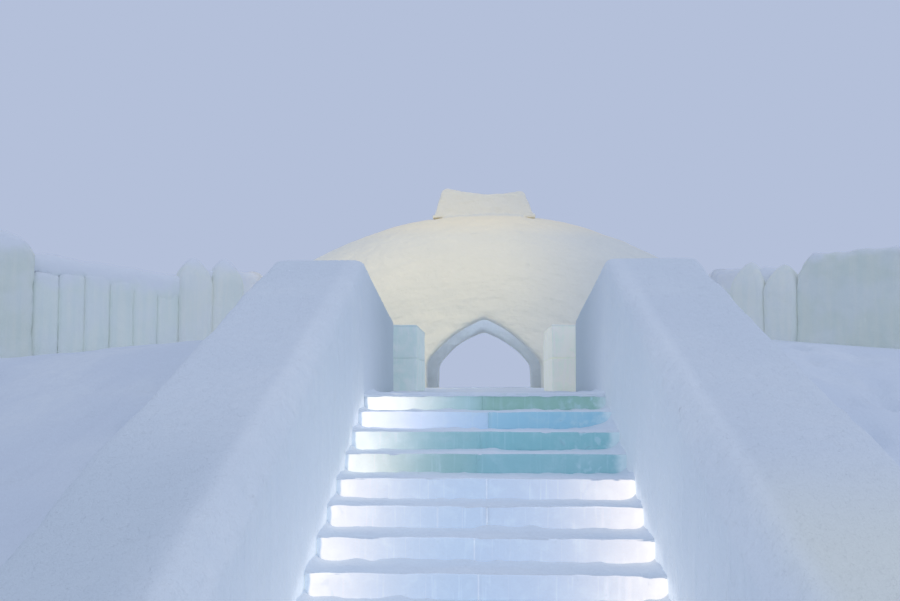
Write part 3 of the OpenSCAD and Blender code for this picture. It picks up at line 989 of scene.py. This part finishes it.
def return_row(side, sign, material):
    """The logs that run back from a gate to the dome, with loose snow over them and at the corner."""
    along, front = Vector((0, 1, 0)), Vector((-sign, 0, 0))
    node = f"{side}_return_logs"
    boxes = sorted(solids(node), key=lambda box: box[0].y)
    log_row(f"{side}_return_row", node, boxes, along, front, ROUND_HEAD, 73, material)
    near, far = [Vector((centre(box).x, centre(box).y, 0)) for box in (boxes[0], boxes[-1])]
    snow_drift(
        f"{side}_corner_drift", [Fence(side).place(-0.1), near + 0.1 * along], front, 0.2,
        [-0.1, -0.1], [2.508, 2.588], 93, material,
    )
    snow_drift(
        f"{side}_return_drift", [near - 0.2 * along, far + 0.15 * along], front, 0.235,
        [2.088, 1.988, 2.038], [2.588, 2.538, 2.488], 95, material,
    )


def left_palisade(material):
    """The small logs between the gate and the bastion, and the loose snow over them."""
    fence = Fence("left")
    boxes = [raised(box, PALISADE_WEAR) for box in solids("left_palisade")]
    radius = (boxes[0][1].x - boxes[0][0].x) / 2
    log_row(
        "left_palisade_row", "left_palisade", boxes, fence.along, fence.front, ROUND_HEAD, 60, material
    )
    ends = [fence.place(3 * fence.gate_r - 0.08), fence.place(fence.bastion_from + 0.08)]
    snow_drift(
        "left_palisade_drift", ends, fence.front, radius + 0.016,
        [1.788, 1.808, 1.828, 1.988, 2.068, 2.088, 2.108],
        [2.278, 2.318, 2.368, 2.408, 2.438, 2.478, 2.508], 101, material,
    )


# The dome

def hall_floor(material):
    piece = moulded("hall_floor_snow", node_bmesh("hall_floor"), 0.14, 3)
    roughen(piece, [(1.2, 0.015), (0.3, 0.006)], 37)
    return dress(piece, material, "packed_snow", "hall_floor")


def dome_shell(material):
    """The ten wall segments frozen into one shell."""
    piece = moulded("dome_shell", node_bmesh(*SHELL_SEGMENTS), 0.09, 4)
    roughen(piece, [(2.4, 0.045), (0.5, 0.014)], 51)
    return dress(piece, material, "dome_snow", *SHELL_SEGMENTS)


def crown(dome, material):
    """The block on the crest, with its flared tips lifted and snow filled in between them."""
    low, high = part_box("crown_block")
    tip_lift, left_rise, top_in = 0.045, 0.12, 0.29
    bm = node_bmesh("crown_block")
    for v in bm.verts:
        share = (v.co.z - low.z) / (high.z - low.z)
        v.co.z += tip_lift if share < 0.15 else left_rise * max(0.0, -v.co.x) / high.x * share
        if abs(v.co.x) > 0.85 * high.x:
            v.co.x = math.copysign(max(abs(v.co.x), high.x - top_in * share**0.8), v.co.x)
        elif share > 0.5:
            v.co.x *= 1.05
    height = surface_under(dome)
    for x in np.arange(-1.0, 1.01, 0.1):
        for out, under, radius in ((0.0, 0.16, 0.22), (0.12, 0.25, 0.26)):
            for y in (low.y - out, high.y + out):
                add_lump(bm, (x, y, height(x, y) - under), radius)
    piece = moulded("crown_snow", bm, 0.028, 4)
    roughen(piece, [(0.9, 0.02), (0.2, 0.008)], 57)
    return dress(piece, material, "dome_snow", "crown_block")


# Camera, light and floor

def make_camera():
    """The photo's viewpoint: in front of the stair, just above the level of the terrace."""
    data = bpy.data.cameras.new("camera")
    data.sensor_width = 36.0
    data.lens = 31.32
    data.shift_y = 0.0483
    tilt, turn = 3.0, 2.49
    camera = bpy.data.objects.new("camera", data)
    camera.location = (0.0, EDGE_Y - 7.88, TERRACE_Z + 0.09)
    camera.rotation_euler = (math.radians(90 + tilt), 0.0, math.radians(turn))
    bpy.context.scene.collection.objects.link(camera)
    bpy.context.scene.camera = camera


def look_at(thing, target):
    thing.rotation_euler = (Vector(target) - thing.location).to_track_quat("-Z", "Y").to_euler()


def add_light(name, kind, colour, energy):
    """A lamp that lights the scene but can't be seen itself."""
    data = bpy.data.lights.new(name, kind)
    data.color = colour
    data.energy = energy
    light = bpy.data.objects.new(name, data)
    light.visible_camera = False
    bpy.context.scene.collection.objects.link(light)
    return light


def make_light():
    """Even dusk sky, a faint broad sun for shape, a warm flood lamp on the dome and one inside it."""
    scene = bpy.context.scene
    world = bpy.data.worlds.new("dusk")
    world.use_nodes = True
    world.node_tree.nodes["Background"].inputs["Color"].default_value = (*SKY, 1.0)
    world.node_tree.nodes["Background"].inputs["Strength"].default_value = 1.0
    scene.world = world
    scene.view_settings.view_transform = "Standard"
    sun = add_light("sky_glow", "SUN", (0.85, 0.9, 1.0), 0.22)
    sun.data.angle = math.radians(50)
    sun.rotation_euler = (math.radians(50), 0, math.radians(40))
    flood = add_light("dome_lamp", "SPOT", (1.0, 0.78, 0.25), 1400)
    flood.location = (-1.3, EDGE_Y + 2.5, TERRACE_Z + 7.5)
    flood.data.spot_size = math.radians(59)
    flood.data.spot_blend = 0.9
    look_at(flood, (-2.3, DOME_Y - 1.5, TERRACE_Z + 3.1))
    hall = add_light("hall_lamp", "POINT", (0.52, 0.65, 1.0), 82)
    hall.data.shadow_soft_size = 0.3
    hall.location = (0.0, DOME_Y, TERRACE_Z + 2.8)


def make_floor():
    """A wide plain floor just under the ground."""
    reach = 300.0
    under = -0.004
    corners = [(-reach, -reach), (reach, -reach), (reach, reach), (-reach, reach)]
    mesh = bpy.data.meshes.new("floor")
    mesh.from_pydata([(x, y, under) for x, y in corners], [], [(0, 1, 2, 3)])
    mesh.materials.append(floor_material())
    add_object("floor", mesh)


make_camera()
make_light()
make_floor()

packed_snow = packed_material()
wall_snow = wall_material()
gate_snow = log_material("gate_snow", (0.985, 0.955, 0.935), GATE_DUST)
row_snow = log_material("palisade_snow", (0.97, 0.965, 0.95), ROW_DUST)
bastion_snow = log_material("bastion_snow", (0.875, 0.875, 0.835), BASTION_DUST)
dome_snow = dome_material()
bank_tints = {"left": (0.98, 0.98, 0.98), "right": (1.04, 1.04, 1.04)}

stair(packed_snow)
terrace(packed_snow)
hall_floor(packed_snow)
for side, sign in (("left", -1), ("right", 1)):
    wing_wall(side, sign, wall_snow)
    bank(side, sign, bank_material(side, bank_tints[side]))
    pier_ice = pier_material(side)
    for level in ("lower", "upper"):
        pier(side, level, pier_ice)
    gate(side, gate_snow, row_snow)
    bastion(side, bastion_snow)
    return_row(side, sign, row_snow)
left_palisade(row_snow)
crown(dome_shell(dome_snow), dome_snow)
